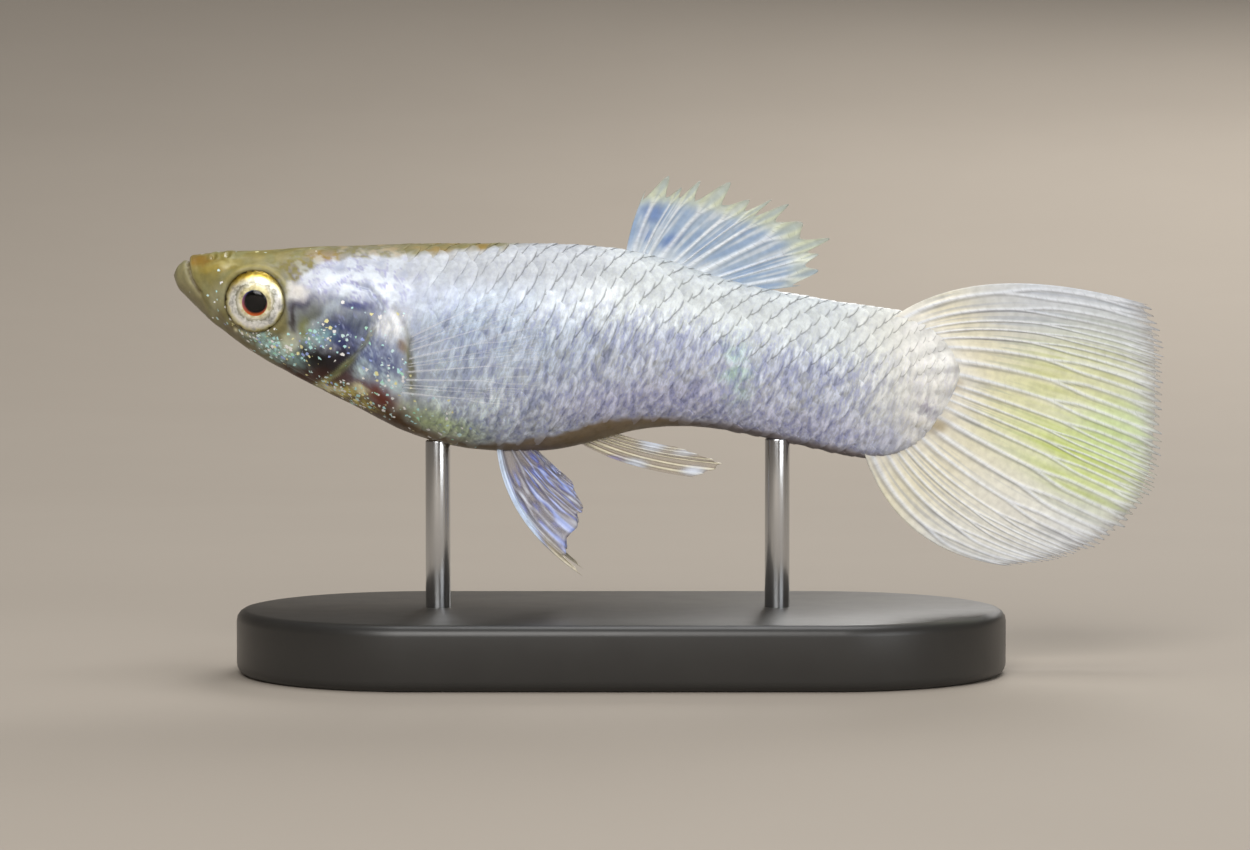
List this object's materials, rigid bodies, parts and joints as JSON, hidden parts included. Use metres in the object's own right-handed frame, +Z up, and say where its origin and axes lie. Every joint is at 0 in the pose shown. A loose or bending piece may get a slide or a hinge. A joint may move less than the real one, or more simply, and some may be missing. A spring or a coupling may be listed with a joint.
{
  "type": "fancy guppy model",
  "caption": "Life-size still model of a male fancy guppy with a white, spotted body and a round fan tail, held over a flat stand by slender rods.",
  "frame": {"origin": "centre of the underside of the stand's base", "axes": "+Z up, head along -X, the fish's left side faces -Y"},
  "size_m": [0.0403, 0.015, 0.0207],
  "materials": {
    "head_skin": "painted resin, olive and gold, moist gloss",
    "flank_skin": "painted resin, pearly white with grey-violet marks, moist gloss",
    "gill_cover": "painted resin, blue-green and violet sheen",
    "eye": "polished, silver-gold ring round a black pupil",
    "fin_web": "thin translucent resin, blue-white",
    "tail_web": "thin translucent resin, cream with yellow-green",
    "rod": "polished steel rod",
    "base": "satin dark grey"
  },
  "bodies": {
    "root": {"head": "head_skin", "lower_jaw": "head_skin", "trunk": "flank_skin", "tail_stalk": "flank_skin", "eye_left": "eye", "eye_right": "eye", "gill_cover_left": "gill_cover", "gill_cover_right": "gill_cover", "pectoral_fin_left": "fin_web", "pectoral_fin_right": "fin_web", "pelvic_fin_left": "fin_web", "pelvic_fin_right": "fin_web", "dorsal_fin": "fin_web", "caudal_fin": "tail_web", "gonopodium": "fin_web", "stand_rod_front": "rod", "stand_rod_rear": "rod", "stand_base": "base"}
  },
  "joints": []
}
